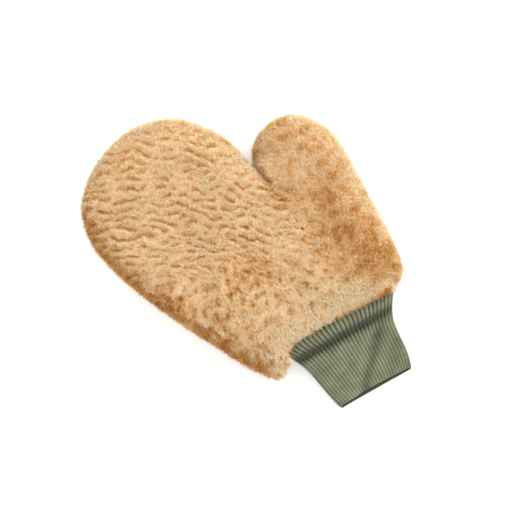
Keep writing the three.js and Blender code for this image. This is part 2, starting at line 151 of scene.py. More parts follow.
# ---------------------------------------------------------------- meshes
def mesh_object(name, points, faces, attributes=()):
    """A mesh object at the origin from millimetre points and faces, with named float attributes."""
    mesh = bpy.data.meshes.new(name)
    flat = place(points)
    mesh.vertices.add(len(flat))
    mesh.vertices.foreach_set("co", flat.astype(np.float32).ravel())
    sizes = np.concatenate([np.full(len(block), block.shape[1]) for block in faces])
    corners = np.concatenate([block.ravel() for block in faces])
    mesh.loops.add(len(corners))
    mesh.loops.foreach_set("vertex_index", corners.astype(np.int32))
    mesh.polygons.add(len(sizes))
    starts = np.concatenate([[0], np.cumsum(sizes)[:-1]])
    mesh.polygons.foreach_set("loop_start", starts.astype(np.int32))
    mesh.polygons.foreach_set("use_smooth", np.ones(len(sizes), bool))
    for label, values in attributes:
        made = mesh.attributes.new(label, "FLOAT", "POINT")
        made.data.foreach_set("value", np.asarray(values, np.float32).ravel())
    mesh.update(calc_edges=True)
    mesh.validate()
    thing = bpy.data.objects.new(name, mesh)
    bpy.context.scene.collection.objects.link(thing)
    return thing


def grid_faces(rows, columns, wrap_rows=False):
    """Quads of a grid of rows by columns whose columns, and rows if told so, close on themselves."""
    i = np.arange(rows if wrap_rows else rows - 1)[:, None]
    j = np.arange(columns)[None, :]
    i2, j2 = (i + 1) % rows, (j + 1) % columns
    quads = np.stack([i * columns + j, i * columns + j2, i2 * columns + j2, i2 * columns + j], -1)
    return quads.reshape(-1, 4)


# ---------------------------------------------------------------- the fleece's body
MAIN_OUTLINE = [
    (12.6, 9), (10, 60), (8, 100), (3, 132), (-1, 152), (-5, 178), (-12, 196), (-22, 211), (-39, 227),
    (-60, 236), (-79, 239), (-101, 235), (-121, 227), (-137, 216), (-150, 202), (-157, 186), (-160, 165),
    (-157, 147), (-150, 122), (-138, 92), (-119, 52), (-100, 18), (-90, 2), (-82, -9), (-75, -17),
    (-69, -18.5), (-63, -14), (-57, -5), (-51, 2), (-43, 5), (-25, 5.5), (-5, 5), (10, 4.6),
]
THUMB_OUTLINE = [
    (15, 4.6), (28, 4), (42, 3), (53, 2), (63, 6), (70, 14), (73.5, 28), (76, 50), (76.5, 80),
    (77.5, 110), (77.5, 130), (76, 146), (71, 158), (63, 171), (52, 180), (38, 184), (25, 182.5),
    (14, 178), (6, 171), (1, 161), (0, 150), (3, 132), (8, 100), (10, 60), (12.6, 9),
]
MAIN_CENTRE = np.array([-64.0, 108.0])
THUMB_CENTRE = np.array([42.0, 88.0])
ROLL_FREE = 27.0                                 # how far in from a free edge the fleece rounds over
ROLL_WRIST = 15.0                                # the same beside the cuff
ROLL_POWER = 2.3                                 # a circle would be 2; wool is a little fuller
ARC_WIDTH = 34                                   # the grid's rounded part is this wide in plan
ARC_LENGTH = 40                                  # and this long over the wool
EDGE_STEP = 1.3                                  # distance between the points of an outline
WALL_ROWS = 7                                    # grid rows up the wool's side at the slit
WALL_WIDTH = 0.7                                 # how far that side leans in
OVERLAP = 0.4                                    # the panels' wool laps by this much at the parting
WRIST_INSET = 1.5                                # the wool's body stops short by this at the cuff
NEAR_PARTING = 10                                # an outline this near the parting is shared
# Going up from the wrist seam, the outline is the wrist's as far as WRIST_END. Past that, where it is
# shared, it is hidden and grows no hairs as far as BARE_END, laps over the other panel as far as
# SEWN_END, and is the slit beside the thumb as far as SLIT_END.
WRIST_END, BARE_END, SEWN_END, SLIT_END = 7, 110, 118, 172
ROLL_SLIT = 10                                   # how far in the fleece rounds over in the slit's foot
CHUNK = 20000                                    # points whose height is worked out at one time


def cuff_ring_height(x):
    """Half height of the cuff's top ring at x: h (1 - |x/w|^p)^(1/p), a superellipse."""
    share = np.clip(np.abs(x - CUFF_SHIFT) / RING_HALF_WIDTH, 0, 1)
    return RING_HALF_HEIGHT * (1 - share**CUFF_POWER) ** (1 / CUFF_POWER)


def parting_line(y):
    """Where the line between main and thumb panel is, at a distance up from the wrist seam."""
    return 13 - 5 * y / 100


def outline(points):
    """An outline's points with what the wool needs to know there: how much it counts as an edge, how
    wide the wool rounds over, and at which height over the middle plane it ends. Where the panels are
    sewn together the wool runs across, so there it doesn't count; up the slit it does, more and more.
    The distances in smooth() are up from the wrist seam."""
    edge = closed_curve(points, EDGE_STEP)
    x, y = edge[:, 0], edge[:, 1]
    following = np.roll(edge, -1, 0) - np.roll(edge, 1, 0)
    normal = np.stack([following[:, 1], -following[:, 0]], 1)
    normal /= np.linalg.norm(normal, axis=1, keepdims=True)
    shared = (np.abs(x - parting_line(y)) < NEAR_PARTING) & (y > WRIST_END) & (y < SLIT_END)
    counts = np.where(shared, smooth(y, 130, 162) * (0.5 + 0.5 * smooth(y, 156, SLIT_END)), 1.0)
    wrist = (y < WRIST_END) & (np.abs(x - CUFF_SHIFT) < RING_HALF_WIDTH)
    roll_slit = ROLL_SLIT + (ROLL_FREE - ROLL_SLIT) * smooth(y, 150, SLIT_END)
    roll = np.where(wrist, ROLL_WRIST, np.where(shared, roll_slit, ROLL_FREE))
    low = np.where(wrist, cuff_ring_height(x), 0)
    inset = np.where(shared, FUZZ * smooth(y, 140, 165), FUZZ)
    inset = np.where(shared & (y < SEWN_END), -OVERLAP, inset)
    inset = np.where(wrist, WRIST_INSET, inset)
    return {"edge": edge - normal * inset[:, None], "normal": normal, "shared": shared, "counts": counts,
            "roll": roll, "low": low}


MAIN, THUMB = outline(MAIN_OUTLINE), outline(THUMB_OUTLINE)
RIM = {key: np.concatenate([MAIN[key], THUMB[key]]) for key in ("edge", "counts", "roll", "low")}


def wool_height(plan, side, near, edge_counts):
    """Height of the wool's body over the middle plane at points in plan. The distance to the edge is a
    soft one: every edge point counts with 1 over its distance to the fourth power, which is exact
    beside a straight edge and has no ridge where two edges compete. Close to an outline that counts it
    gives way to the plain distance, near. The profile is low + (top - low)(1 - (1 - d/roll)^p)^(1/p)."""
    flat = plan.reshape(-1, 2)
    soft, roll, low = (np.empty(len(flat)) for _ in range(3))
    for start in range(0, len(flat), CHUNK):
        those = slice(start, start + CHUNK)
        part = flat[those]
        square = ((part[:, None] - RIM["edge"][None]) ** 2).sum(2) + 0.05
        weight = RIM["counts"] / square**2
        total = weight.sum(1)
        soft[those] = (total * EDGE_STEP * 2 / math.pi) ** (-1 / 3)
        roll[those] = weight @ RIM["roll"] / total
        low[those] = weight @ RIM["low"] / total
    soft, roll, low = (values.reshape(plan.shape[:-1]) for values in (soft, roll, low))
    distance = soft + (near - soft) * (1 - smooth(near, 2, 7)) * edge_counts
    lumps = ripples(np.dstack([plan, np.zeros(plan.shape[:2])]), 5, 62)
    top = (FACE_TOP + 0.9 * lumps) if side > 0 else np.full(soft.shape, MIDDLE - BACK_LIES_AT)
    fall = np.clip(1 - distance / roll, 0, 1)
    return low + (top - low) * (1 - fall**ROLL_POWER) ** (1 / ROLL_POWER)


def fleece_body(rim, centre, side, seed, spacing):
    """One half of a fleece as a closed solid: a fan of columns from the outline to the centre, with the
    wool's height and relief on the outer face, and the skin's height on the inner one. Going in, a
    column's points lie close up the side, then at 1 - cos over the rounded part, then evenly. side is
    1 for the palm and -1 for the back. Returns the vertices, the faces, the depth at each vertex, and
    the outer surface as a grid with its normals, its fields and where it stays bare."""
    stride = max(1, round(spacing / EDGE_STEP))
    edge, normal, shared, counts = (rim[key][::stride] for key in ("edge", "normal", "shared", "counts"))
    inward = centre - edge
    reach = np.linalg.norm(inward, axis=1)
    inward /= reach[:, None]
    slant = np.maximum(-(inward * normal).sum(1), 0.3)  # how squarely a column leaves the outline
    roll = np.minimum(ARC_WIDTH, reach * 0.6)    # how much of it has the points of the rounded part
    arc_rows = int(ARC_LENGTH / spacing)
    flat_rows = int(np.median(reach - roll) / (spacing * 1.1))
    arc = (1 - np.cos(np.linspace(0, 1, arc_rows) * math.pi / 2))[:, None]
    flat = np.linspace(0, 1, flat_rows + 2)[1:-1, None]
    wall = np.linspace(0, 1, WALL_ROWS)[:, None]
    distance = np.vstack([wall[:-1] * WALL_WIDTH + 0 * roll, WALL_WIDTH + (roll - WALL_WIDTH) * arc,
                          roll + (reach - roll) * flat])
    plan = edge[None] + inward[None] * distance[..., None]
    height = wool_height(plan, side, distance * slant[None], counts[None])
    foot = WOOL_INSIDE * (1 - smooth(edge[:, 1], CROTCH[1] - 6, CROTCH[1]))
    steep = 1 - wall**1.5
    height[:WALL_ROWS] += (foot[None] - height[:WALL_ROWS]) * steep * (shared * (1 - counts))[None]
    points = np.dstack([plan, MIDDLE + side * height])

    normals = surface_normals(points, side)
    field = lie_of_wool(points, seed)
    fade_in = 7                                  # the relief fades out this close to a free edge
    grown = np.minimum(1, np.where(shared & (counts < 0.5), 1, distance / fade_in))
    grown[:WALL_ROWS] *= np.where(shared[None], wall, 1)
    if side < 0:                                 # the table presses the relief flatter
        grown = grown * (1 - 0.5 * smooth(height, 14, MIDDLE - BACK_LIES_AT))
    points = points + normals * (field["relief"] * grown)[..., None]
    points[..., 2] = np.maximum(points[..., 2], TABLE_LIFT)
    normals = surface_normals(points, side)

    inner_rows = 8
    share = np.linspace(0, 1, inner_rows + 1)[1:-1, None]
    to_skin = 0.45                               # the share of those rows outside the skin's edge
    skin = 19.0 / slant
    past_skin = skin + (reach - skin) * (share - to_skin) / (1 - to_skin)
    inside = np.minimum(np.where(share < to_skin, skin * share / to_skin, past_skin), reach * 0.97)
    inner_plan = edge[None] + inward[None] * inside[..., None]
    skin_height = np.minimum(height[0], WOOL_INSIDE)
    rise = smooth(inside, skin * 0.8, skin * 1.6)
    inner_height = skin_height + (WOOL_INSIDE - skin_height) * rise
    inner = np.dstack([inner_plan, MIDDLE + side * inner_height])
    rows = np.concatenate([points[::-1], inner], 0)
    count, columns = rows.shape[:2]
    pole_out = points[-1].mean(0)
    pole_in = np.array([*centre, MIDDLE + side * WOOL_INSIDE])
    vertices = np.vstack([rows.reshape(-1, 3), [pole_out, pole_in]])
    j = np.arange(columns)
    j2 = (j + 1) % columns
    pole = np.full(columns, count * columns)
    last = (count - 1) * columns
    faces = [grid_faces(count, columns), np.stack([pole, j2, j], 1),
             np.stack([pole + 1, last + j, last + j2], 1)]
    if side > 0:
        faces = [block[:, ::-1] for block in faces]
    bare = np.zeros(points.shape[:2], bool)
    bare[:WALL_ROWS] = (shared & (edge[:, 1] < BARE_END))[None]
    rest = (count - len(points)) * columns
    depth = np.concatenate([field["depth"][::-1].ravel(), np.zeros(rest), [0.5, 0.0]])
    return vertices, faces, depth, {"points": points, "normals": normals, "bare": bare, **field}


def surface_normals(points, side):
    """Unit normals of a grid whose columns close on themselves, from its own differences."""
    along = np.roll(points, -1, 1) - np.roll(points, 1, 1)
    across = np.gradient(points, axis=0)
    normals = np.cross(across, along)
    length = np.linalg.norm(normals, axis=2, keepdims=True)
    return -side * normals / np.maximum(length, 1e-9)


# ---------------------------------------------------------------- how the wool lies
ROWS_UP = math.radians(60.5)                     # the rows of curls run about across this direction
ROWS_AROUND = (-76, 150)                         # and bend evenly to both sides of this place
# Brown and cream places in the wool: where, how far they reach, and how strong they are.
PATCHES = [((36, 102), 16, 0.75), ((45, 64), 15, 0.95), ((52, 34), 12, 1.35), ((-43, 96), 15, 0.45),
           ((-60, 69), 13, 0.4), ((-20, 46), 11, 0.35), ((28, 34), 12, 0.3)]
CREAMS = [((-30, 18), 19, 1.0), ((-5, 8), 16, 0.9), ((-45, 8), 16, 0.8), ((25, 10), 14, 0.8),
          ((74, 60), 11, 0.6), ((76, 90), 11, 0.6), ((74, 125), 12, 0.5), ((68, 10), 9, 0.3)]


def bells(points, places):
    """The sum of bell curves over places, each with its size and strength: s exp(-d^2 / 2 r^2)."""
    total = np.zeros(points.shape[:-1])
    for (px, py), size, strength in places:
        away = (points[..., 0] - px) ** 2 + (points[..., 1] - py) ** 2
        total = total + strength * np.exp(-away / (2 * size**2))
    return total


def combed(points):
    """Coordinates in which the rows of curls are straight: across is along the rows, up crosses them,
    and up is bent by a parabola, because the rows lie in wide arcs over the finger pouch."""
    x, y = points[..., 0] - ROWS_AROUND[0], points[..., 1] - ROWS_AROUND[1]
    up = x * math.cos(ROWS_UP) + y * math.sin(ROWS_UP)
    across = x * math.sin(ROWS_UP) - y * math.cos(ROWS_UP)
    bent = np.clip(across, -70, 75)
    return np.stack([up + 0.02 * bent + 0.0020 * bent**2, across, points[..., 2] * 0.6], -1)


def lie_of_wool(points, seed):
    """Relief in millimetres, depth (0 in a furrow, 1 on a curl) and brownness of the wool. On the
    finger pouch, flat-topped rows of curls with narrow furrows; towards the wrist, tufts with gaps that
    run any way; on the thumb, softer and smoother wool. The three give way to each other smoothly."""
    straight = combed(points)
    sway = ripples(points, seed + 7, 34)
    straight[..., 0] += 1.3 * sway
    row, row_slope = furrows(straight, seed, 8.2, 0.36, 0.75)
    small, _ = furrows(straight, seed + 8, 4.8, 0.5, 0.8)
    curls = ripples(points, seed + 1, 3.4)
    tufts = ripples(points, seed + 2, 13)
    gaps, _ = furrows(points, seed + 9, 9.5, ANY_WAY, 0.75)
    blots = ripples(points, seed + 3, 12)
    row_crest = 0.8 - 1.5 * row - 0.55 * small + 0.25 * row_slope + 0.14 * curls
    tuft_crest = 0.72 + 0.22 * tufts - 1.15 * gaps - 0.45 * small + 0.2 * curls
    blot_crest = 0.36 * np.tanh(1.2 * (blots + 0.5)) - 0.3 * small + 0.2 * curls + 0.3
    x, y = points[..., 0], points[..., 1]
    thumb = smooth(x - parting_line(y), -14, 22)
    hand = (1 - smooth(0.35 * x + y, 45, 95)) * (1 - thumb)
    pouch = 1 - thumb - hand
    relief = row_crest * pouch + tuft_crest * hand + 0.5 * blot_crest * thumb
    crest = row_crest * pouch + tuft_crest * hand + blot_crest * thumb
    patch = 1.2 * bells(points, PATCHES) - bells(points, CREAMS) + 0.18 * ripples(points, seed + 4, 45)
    patch = patch + (0.4 * hand + 0.18 * thumb) * ripples(points, seed + 6, 19)
    return {"relief": relief, "depth": np.clip(0.5 + 0.5 * crest, 0, 1), "patch": patch}


# ---------------------------------------------------------------- the pile
SHADES = ["cream", "straw", "honey", "tan", "brown"]
SHADE_STEPS = [0.84, 0.62, 0.43, 0.10]           # a hair is the first shade whose step its tone is over
HAIR_LENGTH = (3.2, 5.2)
HAIR_WIDTH = (0.15, 0.28)                        # half the root's width, wider than real hair, to show
ROOT_DEPTH = 0.6                                 # a hair starts this far under the body's surface
COMBED = np.array([[-0.1, -0.22, 0.0]])          # how the whole fleece leans, with the way it was combed
DROOP = np.array([[0.0, -0.7, 0.0]])             # more of that beside the wrist,
CUFF_DROOP = np.array([[0.0, -0.45, 0.0]])       # and just over the cuff
SHADED_SIDE = np.array([-0.93, -0.37, 0.0])       # the little finger's side, away from the lamp, where hairs get darker shades as painted shade
TABLE_GAP = 0.15                                 # no hair's point comes nearer to the table


def grow_pile(surface, count, seed):
    """Short curved hairs on a fleece's body. Each hair is a three-sided spike of two lengths whose
    middle leans a little and whose tip leans more: towards the crest of its curl, the way that the
    fleece is combed, and a random way, and flat where the table presses. The roots are spread by area.
    Returns the points of each hair, the faces of one, and the number of each hair's shade."""
    rng = np.random.default_rng(seed)
    p, n = surface["points"], surface["normals"]
    down = np.diff(p, axis=0)
    wide = (np.roll(p, -1, 1) - p)[:-1]
    area = np.linalg.norm(np.cross(down, wide), axis=2)
    area = np.where(surface["bare"][:-1], 0, area)
    share = np.cumsum(area.ravel())
    cells = np.searchsorted(share, rng.uniform(0, share[-1], count))
    i, j = np.unravel_index(np.minimum(cells, area.size - 1), area.shape)
    j2 = (j + 1) % p.shape[1]
    u, v = rng.uniform(0, 1, (2, count, 1))

    def at(grid):
        grid = grid if grid.ndim == 3 else grid[..., None]
        upper = grid[i, j] * (1 - v) + grid[i, j2] * v
        lower = grid[i + 1, j] * (1 - v) + grid[i + 1, j2] * v
        return upper * (1 - u) + lower * u

    def along_surface(vector):
        return vector - (vector * normal).sum(1, keepdims=True) * normal

    root, normal = at(p), at(n)
    normal /= np.linalg.norm(normal, axis=1, keepdims=True)
    uphill = along_surface(at(slope_of(surface["relief"], p)))
    uphill /= np.maximum(np.linalg.norm(uphill, axis=1, keepdims=True), 0.25)
    near_wrist = 1 - smooth(root[:, 1:2], 6, 40)
    at_cuff = (1 - smooth(root[:, 1:2], 8, 16)) * (np.abs(root[:, :1] - CUFF_SHIFT) < 54)
    comb = along_surface(COMBED + DROOP * near_wrist * (1 - at_cuff))
    comb = comb + along_surface(CUFF_DROOP) * at_cuff
    loose = along_surface(rng.normal(0, 1, (count, 3)))
    lean = 0.55 * uphill + 0.5 * loose + comb
    sideways = 1 - np.abs(normal[:, 2:3])
    length = rng.uniform(*HAIR_LENGTH, (count, 1)) * (1 + 0.5 * near_wrist) * (1 - 0.25 * at_cuff)
    length = length * (1 + rng.uniform(-0.1, 0.45, (count, 1)) * sideways)
    width = rng.uniform(*HAIR_WIDTH, (count, 1))
    pressed = (1 - smooth(root[:, 2:], 4, 12)) * smooth(-normal[:, 2:], 0.3, 0.8)
    flat_lean = lean / np.maximum(np.linalg.norm(lean, axis=1, keepdims=True), 0.01)
    lean = lean + (1.2 * flat_lean - lean) * pressed
    upright = normal * (1 - 0.75 * pressed)
    first = upright + 0.45 * lean * (1 + pressed)
    first /= np.linalg.norm(first, axis=1, keepdims=True)
    second = 0.55 * upright + 1.1 * lean
    second /= np.linalg.norm(second, axis=1, keepdims=True)
    start = root - normal * ROOT_DEPTH
    middle = start + first * length * 0.55
    tip = middle + second * length * 0.5
    side_a = np.cross(first, rng.normal(0, 1, (count, 3)))
    side_a /= np.linalg.norm(side_a, axis=1, keepdims=True)
    side_b = np.cross(first, side_a)
    ring = [side_a * math.cos(a) + side_b * math.sin(a) for a in (0, 2 * math.pi / 3, 4 * math.pi / 3)]
    rings = [start + r * width for r in ring] + [middle + r * width * 0.8 for r in ring]
    points = np.stack(rings + [tip], 1)
    points[..., 2] = np.maximum(points[..., 2], TABLE_GAP)
    spike = np.array([[0, 2, 1], [0, 1, 4], [0, 4, 3], [1, 2, 5], [1, 5, 4], [2, 0, 3], [2, 3, 5],
                      [3, 4, 6], [4, 5, 6], [5, 3, 6]])
    # Painted shadow: hairs rooted just above the cuff get a darker shade, for the shadow under the wool's edge.
    seam = (1 - smooth(root[:, 1], 5, 10)) * at_cuff[:, 0]
    # Painted shade: hairs that face the little finger's side, away from the lamp, get a darker shade.
    side_shade = smooth(normal @ SHADED_SIDE, 0.15, 0.85)
    tone = at(surface["depth"])[:, 0] + rng.normal(0, 0.16, count)
    tone -= 0.4 * at(surface["patch"])[:, 0] + 0.75 * seam + 0.6 * side_shade
    shade = np.digitize(-tone, [-step for step in SHADE_STEPS])
    return points, spike, shade


def slope_of(values, points):
    """The direction along the surface in which the values rise, times how fast they rise."""
    total = np.zeros(points.shape)
    steps = [(np.gradient(points, axis=0), np.gradient(values, axis=0)),
             ((np.roll(points, -1, 1) - np.roll(points, 1, 1)) / 2,
              (np.roll(values, -1, 1) - np.roll(values, 1, 1)) / 2)]
    for step, change in steps:
        square = np.maximum((step**2).sum(2), 0.05)
        total += step * (change / square)[..., None]
    return total


def pile_object(name, points, spike):
    """All hairs of one shade as one mesh."""
    faces = (np.arange(len(points))[:, None, None] * points.shape[1] + spike[None]).reshape(-1, 3)
    return mesh_object(name, points.reshape(-1, 3), [faces])


# ---------------------------------------------------------------- the rib-knit cuff
RIBS = 58
RIB_HEIGHT = 0.85
STITCH_HEIGHT = 0.14
STITCH_PITCH = 2.1                               # coarser than the real knit, so that it shows
CREASE = np.array([(36, 6), (23, 25), (8, 44), (-3, 56), (-12, 70)], float)  # across, and along the cuff
KNIT_WALL = 3.4                                  # both layers of the folded knit together
KNIT_LAYER = 1.55
KNIT_LIFT = 0.4                                  # no part of it comes nearer to the table
CUFF_START = -7.0                                # the knit starts this far up under the wool
THREAD = 0.9                                     # the side seam's thread: its thickness,
ZIGZAG = 10.0                                    # the length of one zigzag,
SWING = 1.5                                      # and how far it swings to each side
THREAD_SIDES = 6


def cuff_half_width(along):
    """Half the flat width at a distance from the seam: it pulls in from 58 to 42 mm, as exp(-d^1.3),
    then tapers to 36 mm, as d^4.6."""
    pull = 15.5 * np.exp(-((np.maximum(along, 0) / 17) ** 1.3))
    return 42.2 - 6.0 * np.clip(along / 71, 0, 2) ** 4.6 + pull


def cuff_top(along, x):
    """Height of the cuff's upper face over the table: a puffed roll beside the wool, a steep fall into
    a valley under it, both calmer towards the thumb's side, and a long slope to the fold."""
    plane = 26.5 - 14.0 * np.clip((along - 16) / 54, 0, 1.1) ** 0.9
    roll = 12.0 * smooth(along, -22, -1) * (1 - smooth(along, 3.5, 14.0))
    valley = 3.5 * np.exp(-(((along - 14.5) / 4.5) ** 2))
    calm = 1 - 0.4 * smooth(x, 12, 48)
    return plane + (roll - valley) * calm


def cuff_floor(along):
    """Height of the cuff's lower face over the table: it sinks to the table within 30 mm."""
    return np.maximum(14.2 - 12.0 * smooth(along, 0, 30), 1.9)


def cuff_middle(along):
    """Height of the flattened tube's side folds over the table, a little under half way up."""
    lower = cuff_floor(along)
    return lower + 0.46 * (27.5 - 15.0 * np.clip(along, 0, 80) / CUFF_LENGTH - lower)


def cuff_sway(along):
    """How far the cuff's middle is from the hand's middle line, towards the thumb."""
    return CUFF_SHIFT + 1.8 * smooth(along, 20, 62)


def build_cuff():
    """The cuff as one closed grid. Round the tube, columns evenly spaced along a flattened
    superellipse; along it, a folded section: outer layer to the fold, round it, and the inner layer
    back. Each rib is a rounded ridge with a narrow groove, the square root of |cos|, and stitches cross
    it as a fine ripple. One crease runs aslant over the upper face, with a swell beside it."""
    columns = RIBS * 9         # so many points across each rib
    power = 2 / CUFF_POWER
    even = np.linspace(0, 2 * math.pi, 8001)
    flatness = 4.4                               # about how many times wider than high
    bow = np.stack([flatness * np.sign(np.cos(even)) * np.abs(np.cos(even)) ** power,
                    np.sign(np.sin(even)) * np.abs(np.sin(even)) ** power], 1)
    run = np.concatenate([[0], np.cumsum(np.linalg.norm(np.diff(bow, axis=0), axis=1))])
    share = np.linspace(0, 1, columns, endpoint=False)
    turn = np.interp(share * run[-1], run, even)
    out_rows = 128
    inner_rows = 14
    radius = KNIT_WALL / 2                       # of the fold at the free edge
    end = CUFF_LENGTH - radius
    along_out = np.linspace(CUFF_START, end, out_rows)
    bend = np.linspace(0, math.pi, 11)[1:-1]
    along_in = np.linspace(end, CUFF_START, inner_rows)
    between = np.linspace(CUFF_START, end - 0.6, inner_rows)
    along = np.concatenate([along_out, end + radius * np.sin(bend), along_in, between, between[::-1]])
    depth = np.concatenate([np.zeros(out_rows), radius * (1 - np.cos(bend)),
                            np.full(inner_rows, KNIT_WALL), np.full(inner_rows, KNIT_WALL - KNIT_LAYER),
                            np.full(inner_rows, KNIT_LAYER)])
    face = np.concatenate([np.ones(out_rows), np.abs(np.cos(bend)), np.full(inner_rows, 0.7),
                           np.zeros(2 * inner_rows)])
    a, t = along[:, None], turn[None, :]
    across = np.sign(np.cos(t)) * np.abs(np.cos(t)) ** power
    up = np.sign(np.sin(t)) * np.abs(np.sin(t)) ** power
    half_width = cuff_half_width(a) - depth[:, None]
    pinch = 1.5 * np.exp(-(((up - 0.22) / 0.16) ** 2)) * (across < 0) * smooth(a, 22, 36)
    x = cuff_sway(a) + across * (half_width - pinch)
    upper = cuff_top(a, x)
    lower, centre = cuff_floor(a), cuff_middle(a)
    least = 0.8                                  # of each half's height over the tube's middle
    half_up = np.maximum(upper - centre - depth[:, None], least)
    half_down = np.maximum(centre - lower - depth[:, None], least)
    z = centre + np.where(up > 0, up * half_up, up * half_down)
    crease_x = np.interp(a, CREASE[:, 1], CREASE[:, 0])
    sunk = 3.0 * np.exp(-(((x - crease_x) / 5.5) ** 2)) * smooth(a, 12, 30)
    raised = 2.0 * np.exp(-(((x - crease_x + 15) / 9.0) ** 2)) * smooth(a, 16, 34)
    z = z + (raised - sunk) * smooth(up, 0.2, 0.8)
    shorter = 2.4 - 1.7 * ((x - CUFF_SHIFT) / 36) ** 2  # the upper face ends before the lower one
    longer = -1.7
    y = -a + (longer + (shorter - longer) * smooth(up, -0.25, 0.25)) * smooth(a, 42, CUFF_LENGTH)
    points = np.dstack([x, y, z])
    normals = surface_normals(points, 1)
    outward = np.stack([np.cos(turn), 0 * turn, np.sin(turn)], -1)
    normals *= np.sign((normals[:out_rows] * outward).sum())
    rib_turn = share * RIBS * math.pi
    rib = np.abs(np.cos(rib_turn)) ** 0.5
    stitch = np.cos(2 * math.pi * a / STITCH_PITCH + 2.2 * np.abs(np.sin(rib_turn)))
    slack = 0.72 + 0.28 * (1 - smooth(a, 14, 26))  # the ribs are stretched flatter past the roll
    swell = (RIB_HEIGHT * slack * (rib - 0.75) + STITCH_HEIGHT * stitch * rib) * face[:, None]
    points = points + normals * swell[..., None]
    points[..., 2] = np.maximum(points[..., 2], KNIT_LIFT)
    quads = orient(points, grid_faces(len(along), columns, wrap_rows=True))
    # The knit's colour fields. rib darkens the grooves with the elastic core and painted shade. fold is painted
    # shade under the roll (valley) and along the crease (furrow), and slope darkens the upper face towards the
    # thumb's side past the roll. inside darkens the tube's inner layers as painted shade.
    slope = 0.18 * smooth(x, 4, 34) * smooth(a, 8, 20)
    valley = 0.78 * np.exp(-(((a - 12.9) / 4.6) ** 2)) * (1 - 0.35 * smooth(x, 12, 48))
    furrow = 0.28 * smooth(a, 14, 30) * np.exp(-(((x - crease_x) / 6.0) ** 2))
    fields = {
        "rib": 1 - (1 - rib) * slack,
        "fold": (slope + valley + furrow) * smooth(up, 0.1, 0.5),
        "stitch": 0.5 + 0.5 * stitch,
        "inside": depth[:, None] / KNIT_WALL,
    }
    attributes = [(label, np.broadcast_to(values, x.shape)) for label, values in fields.items()]
    return mesh_object("knitted_cuff", points.reshape(-1, 3), [quads], attributes)


def orient(points, quads):
    """The quads, turned over if the closed solid that they make has a negative volume."""
    flat = points.reshape(-1, 3)
    a, b, c, d = (flat[quads[:, k]] for k in range(4))
    volume = (np.cross(a, b) * c).sum() + (np.cross(a, c) * d).sum()
    return quads if volume > 0 else quads[:, ::-1]


def build_side_seam_thread():
    """The thread of the cuff's own seam: a six-sided tube along a sine wave in the side fold, inside
    the knit. Its ends are closed."""
    along = np.linspace(8.5, 63.5, 111)          # twenty points to a zigzag
    away = cuff_half_width(along) - KNIT_WALL - 2 * SWING
    x = cuff_sway(along) - away + SWING * np.sin(2 * math.pi * along / ZIGZAG)
    path = np.stack([x, -along, cuff_middle(along)], 1)
    ahead = np.gradient(path, axis=0)
    beside = np.cross(ahead, [0, 0, 1.0])
    above = np.cross(beside, ahead)
    beside, above = (v / np.linalg.norm(v, axis=1, keepdims=True) for v in (beside, above))
    turns = np.linspace(0, 2 * math.pi, THREAD_SIDES, endpoint=False)
    ring = [path + THREAD / 2 * (beside * math.cos(t) + above * math.sin(t)) for t in turns]
    points = np.stack(ring, 1)
    first = np.arange(THREAD_SIDES)
    ends = np.stack([first, first[::-1] + THREAD_SIDES * (len(path) - 1)])
    tube = grid_faces(len(path), THREAD_SIDES)[:, ::-1]
    return mesh_object("cuff_side_thread", points.reshape(-1, 3), [tube, ends])


# ---------------------------------------------------------------- materials
PILE_COLOURS = {"cream": "FDE9C3", "straw": "F8DBAC", "honey": "F1CA94",
                "tan": "E2AB61", "brown": "C38138"}
UNDERWOOL_COLOURS = [(0.0, "BE8340"), (0.4, "DBA660"), (0.8, "ECC593"), (1.0, "F4D8AC")]  # by depth
RIB_COLOURS = [(0.0, "14160C"), (0.4, "3F4230"), (0.7, "75785E"), (1.0, "929577")]  # groove to ridge: the grooves' darkness is the elastic core and painted shade in the recesses
KNIT_SHADES = {                                  # the mesh's own values, and how each darkens the knit: stitch for the stitches, inside and fold as painted shade
    "stitch": [(0.0, "BEBEBE"), (0.6, "FFFFFF")],
    "inside": [(0.3, "FFFFFF"), (0.8, "A0A0A0")],
    "fold": [(0.0, "FFFFFF"), (0.5, "A9AA9A"), (1.0, "50523A")],
}


def linear(code):
    """A colour from sRGB hex to linear numbers with alpha."""
    parts = [int(code[k:k + 2], 16) / 255 for k in (0, 2, 4)]
    return tuple(c / 12.92 if c <= 0.04045 else ((c + 0.055) / 1.055) ** 2.4 for c in parts) + (1.0,)


def node(tree, kind, settings=None, links=None, stops=(), **properties):
    """Adds a node, sets its properties and inputs, links its inputs from other nodes' outputs, and
    gives a colour ramp its stops, as (place, hex)."""
    made = tree.nodes.new(kind)
    for key, value in properties.items():
        setattr(made, key, value)
    for key, value in (settings or {}).items():
        made.inputs[key].default_value = value
    for key, source in (links or {}).items():
        tree.links.new(source, made.inputs[key])
    for k, (position, code) in enumerate(stops):
        elements = made.color_ramp.elements
        element = elements[k] if k < 2 else elements.new(position)
        element.position = position
        element.color = linear(code)
    return made


def cycles(size):
    """The scale of a pattern whose features are this many millimetres, on coordinates in metres."""
    return 1000 / size


def pattern(tree, kind, size, **settings):
    """A texture of any kind with features of a size in millimetres, on the object's own coordinates."""
    where = node(tree, "ShaderNodeTexCoord")
    settings["Scale"] = cycles(size)
    return node(tree, kind, settings, {"Vector": where.outputs["Object"]}).outputs["Fac"]


def painted(tree, source, stops, under=None):
    """Colours a pattern by the stops of a ramp, and multiplies them with the colour under them."""
    colour = node(tree, "ShaderNodeValToRGB", links={"Fac": source}, stops=stops).outputs["Color"]
    if under is None:
        return colour
    layers = {"Color1": under, "Color2": colour}
    return node(tree, "ShaderNodeMixRGB", {"Fac": 1.0}, layers, blend_type="MULTIPLY").outputs["Color"]


